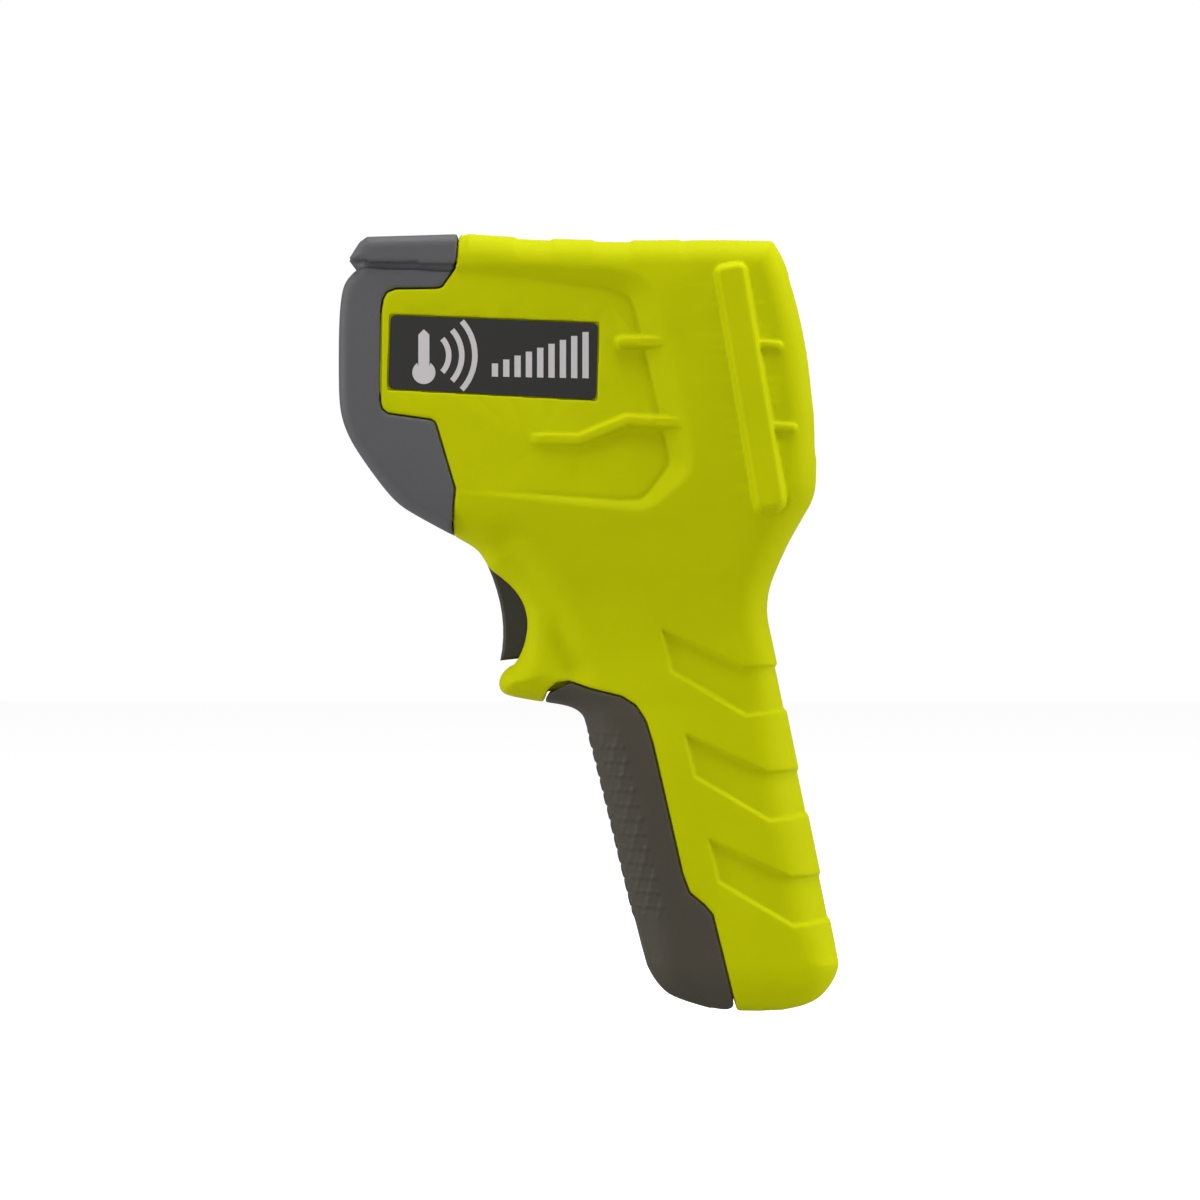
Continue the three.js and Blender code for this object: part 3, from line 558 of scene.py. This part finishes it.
MATERIALS = {
    "lime_shell": grained("lime", linear(184, 189, 0), 0.6, grain=0.3, Specular_IOR_Level=0.04),
    "grey_cover": grained("nose_grey", linear(84, 84, 86), 0.6, grain=0.45, Specular_IOR_Level=0.35),
    "door_grey": grained("door_grey", linear(64, 59, 48), 0.62, grain=0.45, Specular_IOR_Level=0.35),
    "trigger_grey": grained("trigger_grey", linear(52, 50, 39), 0.55, grain=0.35, Specular_IOR_Level=0.3),
    "black_plastic": grained("black_plastic", linear(28, 28, 28), 0.55),
    "badge_film": grained("badge_film", linear(38, 37, 36), 0.45, grain=0.2, spread=0.05,
                          Specular_IOR_Level=0.3),
    "key_rubber": grained("key_rubber", linear(50, 50, 52), 0.75),
    "lens_glass": clear("lens_glass", (0.8, 0.82, 0.78), 0.25),
    "clear_window": clear("clear_window", (0.82, 0.86, 0.87), 0.04),
    "lcd": grained("lcd", linear(132, 146, 122), 0.25, grain=0.02, spread=0.03),
    "diffuser": grained("diffuser", linear(232, 236, 230), 0.45, grain=0.05, spread=0.02),
    "board": grained("board", linear(24, 84, 48), 0.4, grain=0.1, scale=700, spread=0.15),
    "steel": brushed("steel", (0.62, 0.63, 0.65)),
    "brass": brushed("brass", (0.66, 0.48, 0.2)),
    "battery_case": grained("battery_case", linear(36, 40, 46), 0.35, grain=0.05, spread=0.06),
    "wire_red": grained("wire_red", linear(170, 28, 24), 0.4, grain=0.05),
    "wire_black": grained("wire_black", linear(24, 24, 24), 0.4, grain=0.05),
    "silver_ink": grained("silver_ink", linear(196, 192, 194), 0.34, grain=0.05, spread=0.05,
                          Metallic=0.35),
}
BEVELS = {"trigger": 0.9, "key_left": 0.5, "key_center": 0.5, "key_right": 0.5, "rear_bezel": 0.4,
          "battery": 0.8, "battery_snap": 0.4}


def paint(piece, slot):
    piece.data.materials.clear()
    piece.data.materials.append(MATERIALS[slot])


def finish_frame(frame):
    slots = {s["node"]: s["material_slot"] for s in frame["record"]["subparts"]}
    for node, piece in frame["nodes"].items():
        piece.data.materials.clear()
        piece.data.materials.append(MATERIALS[slots[node]])
        width = BEVELS.get(node, 0.12)
        bevel = piece.modifiers.new("bevel", "BEVEL")
        bevel.width = width * MM
        bevel.segments = 3
        bevel.limit_method = "ANGLE"
        bevel.angle_limit = math.radians(32)
        bevel.harden_normals = False
        smooth = piece.modifiers.new("weighted", "WEIGHTED_NORMAL")
        smooth.keep_sharp = True
        for face in piece.data.polygons:
            face.use_smooth = True


# ---------------------------------------------------------------- badges

def prism(name, outline, y0, y1, corner=0.0):
    """A flat plate from a side outline in mm, between two depths."""
    points = rounded(outline, corner) if corner else [Vector(p) for p in outline]
    count = len(points)
    vertices = [(p[0] * MM, y * MM, p[1] * MM) for y in (y0, y1) for p in points]
    faces = [tuple(range(count)), tuple(range(2 * count - 1, count - 1, -1))]
    faces += [(i, i + count, (i + 1) % count + count, (i + 1) % count) for i in range(count)]
    mesh = bpy.data.meshes.new(name)
    mesh.from_pydata(vertices, [], faces)
    mesh.validate()
    piece = bpy.data.objects.new(name, mesh)
    bpy.context.scene.collection.objects.link(piece)
    turned_out(piece)
    return piece


def turned_out(piece):
    """Turns the faces of a plate outwards."""
    shape = bmesh.new()
    shape.from_mesh(piece.data)
    bmesh.ops.recalc_face_normals(shape, faces=shape.faces)
    shape.to_mesh(piece.data)
    shape.free()


def rounded(outline, radius, steps=5):
    """The outline with each corner replaced by an arc-like curve."""
    result = []
    count = len(outline)
    for i in range(count):
        corner = Vector(outline[i])
        before = (Vector(outline[i - 1]) - corner).normalized() * radius
        after = (Vector(outline[(i + 1) % count]) - corner).normalized() * radius
        for n in range(steps + 1):
            t = n / steps
            result.append(corner + before * (1 - t) ** 2 + after * t ** 2)
    return result


def ring_arc(center, radius, width, start, stop, steps=14):
    """Outline of an arc-shaped band."""
    turns = [math.radians(start + (stop - start) * n / steps) for n in range(steps + 1)]
    outer = [(center[0] + (radius + width) * math.cos(a), center[1] + (radius + width) * math.sin(a))
             for a in turns]
    inner = [(center[0] + radius * math.cos(a), center[1] + radius * math.sin(a)) for a in turns[::-1]]
    return outer + inner


def badge(side):
    outer = (PANEL_Y - 0.08) * side
    name = "left" if side < 0 else "right"
    plate = prism(f"badge_plate_{name}", BADGE, BADGE_BACK_Y * side, outer, BADGE_CORNER)
    paint(plate, "badge_film")
    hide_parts(f"badge_{name}")
    marks = badge_marks()
    pieces = [prism(f"badge_mark_{name}_{i}", mark, outer - 0.02 * side, outer + 0.05 * side)
              for i, mark in enumerate(marks)]
    for piece in pieces:
        paint(piece, "silver_ink")
    return [plate, *pieces]


def badge_marks():
    """A generic mark: a thermometer, arcs of radiated heat, and a stepped scale."""
    bulb = (-33, 127.8)
    stem = [(bulb[0] - 1.1, 129), (bulb[0] - 1.1, 135.3), (bulb[0], 136.4), (bulb[0] + 1.1, 135.3),
            (bulb[0] + 1.1, 129)]
    marks = [ring_arc(bulb, 0.0, 2.3, 125, 415, 22)[:23] + stem[::-1]]
    marks += [ring_arc((-33, 131.2), 4.4 + 2.6 * n, 1.1, -42, 42) for n in range(3)]
    for n in range(9):
        x = -19.5 + 2.25 * n
        marks.append([(x, 127 - 0.04 * n), (x + 1.25, 126.95 - 0.04 * n),
                      (x + 1.25, 129.6 + 0.78 * n), (x, 129.6 + 0.78 * n)])
    return marks


# ---------------------------------------------------------------- stage

def area_light(name, place, aim, size, power):
    light = bpy.data.lights.new(name, "AREA")
    light.shape = "RECTANGLE"
    light.size, light.size_y = size
    light.energy = power
    lamp = bpy.data.objects.new(name, light)
    lamp.location = place
    lamp.rotation_euler = (Vector(aim) - Vector(place)).to_track_quat("-Z", "Y").to_euler()
    bpy.context.scene.collection.objects.link(lamp)


def camera_only(tree, dim, bright):
    """A value that is bright for what the camera sees directly and dim for the light on everything else."""
    seen = tree.nodes.new("ShaderNodeLightPath")
    strength = tree.nodes.new("ShaderNodeMapRange")
    strength.inputs["To Min"].default_value = dim
    strength.inputs["To Max"].default_value = bright
    tree.links.new(seen.outputs["Is Camera Ray"], strength.inputs["Value"])
    return strength.outputs["Result"]


def floor_material():
    pale = (0.55, 0.55, 0.55)
    material = grained("floor", pale, 0.8, grain=0.05, scale=300, spread=0.01, Emission_Color=(1, 1, 1, 1))
    tree = material.node_tree
    strength = tree.nodes["Principled BSDF"].inputs["Emission Strength"]
    tree.links.new(camera_only(tree, 0.0, 0.84), strength)
    return material


def studio():
    floor = bpy.data.meshes.new("floor")
    reach = 3
    floor.from_pydata([(-reach, -reach, -0.014), (reach, -reach, -0.014), (reach, reach, -0.014),
                       (-reach, reach, -0.014)], [], [(0, 1, 2, 3)])
    plane = bpy.data.objects.new("floor", floor)
    bpy.context.scene.collection.objects.link(plane)
    floor.materials.append(floor_material())

    aim = (0, 0, 0.09)
    area_light("top", (0.05, -0.12, 0.8), aim, (0.5, 0.5), 5.6)
    area_light("front_side", (-0.7, -0.12, 0.2), aim, (0.3, 0.6), 3.2)
    area_light("rear_side", (0.7, -0.1, 0.3), aim, (0.3, 0.6), 3.4)
    area_light("camera_side", (-0.25, -0.9, 0.45), aim, (0.5, 0.5), 1.8)

    world = bpy.data.worlds.new("studio")
    world.use_nodes = True
    background = world.node_tree.nodes["Background"]
    background.inputs["Color"].default_value = (1, 1, 1, 1)
    strength = camera_only(world.node_tree, AMBIENT, BACKDROP)
    world.node_tree.links.new(strength, background.inputs["Strength"])
    bpy.context.scene.world = world
    bpy.context.scene.view_settings.view_transform = "Standard"


def camera():
    lens, distance = 120, 0.812
    data = bpy.data.cameras.new("camera")
    data.lens = lens
    eye = bpy.data.objects.new("camera", data)
    eye.location = (0.002, -distance, 0.0826)
    eye.rotation_euler = (math.radians(90), 0, 0)
    bpy.context.scene.collection.objects.link(eye)
    bpy.context.scene.camera = eye


def main():
    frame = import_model()
    finish_frame(frame)
    shells = [
        (housing(-1), "lime_shell", "instrument", "housing_left"),
        (housing(1), "lime_shell", "instrument", "housing_right"),
        (nose_cover(), "grey_cover", "instrument", "nose_cover"),
        (battery_door(), "door_grey", "door", "battery_door"),
    ]
    for piece, slot, body, node in shells:
        paint(piece, slot)
        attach(piece, body)
        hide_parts(node)
    for side in (-1, 1):
        for piece in badge(side):
            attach(piece, "instrument")
    studio()
    camera()


main()
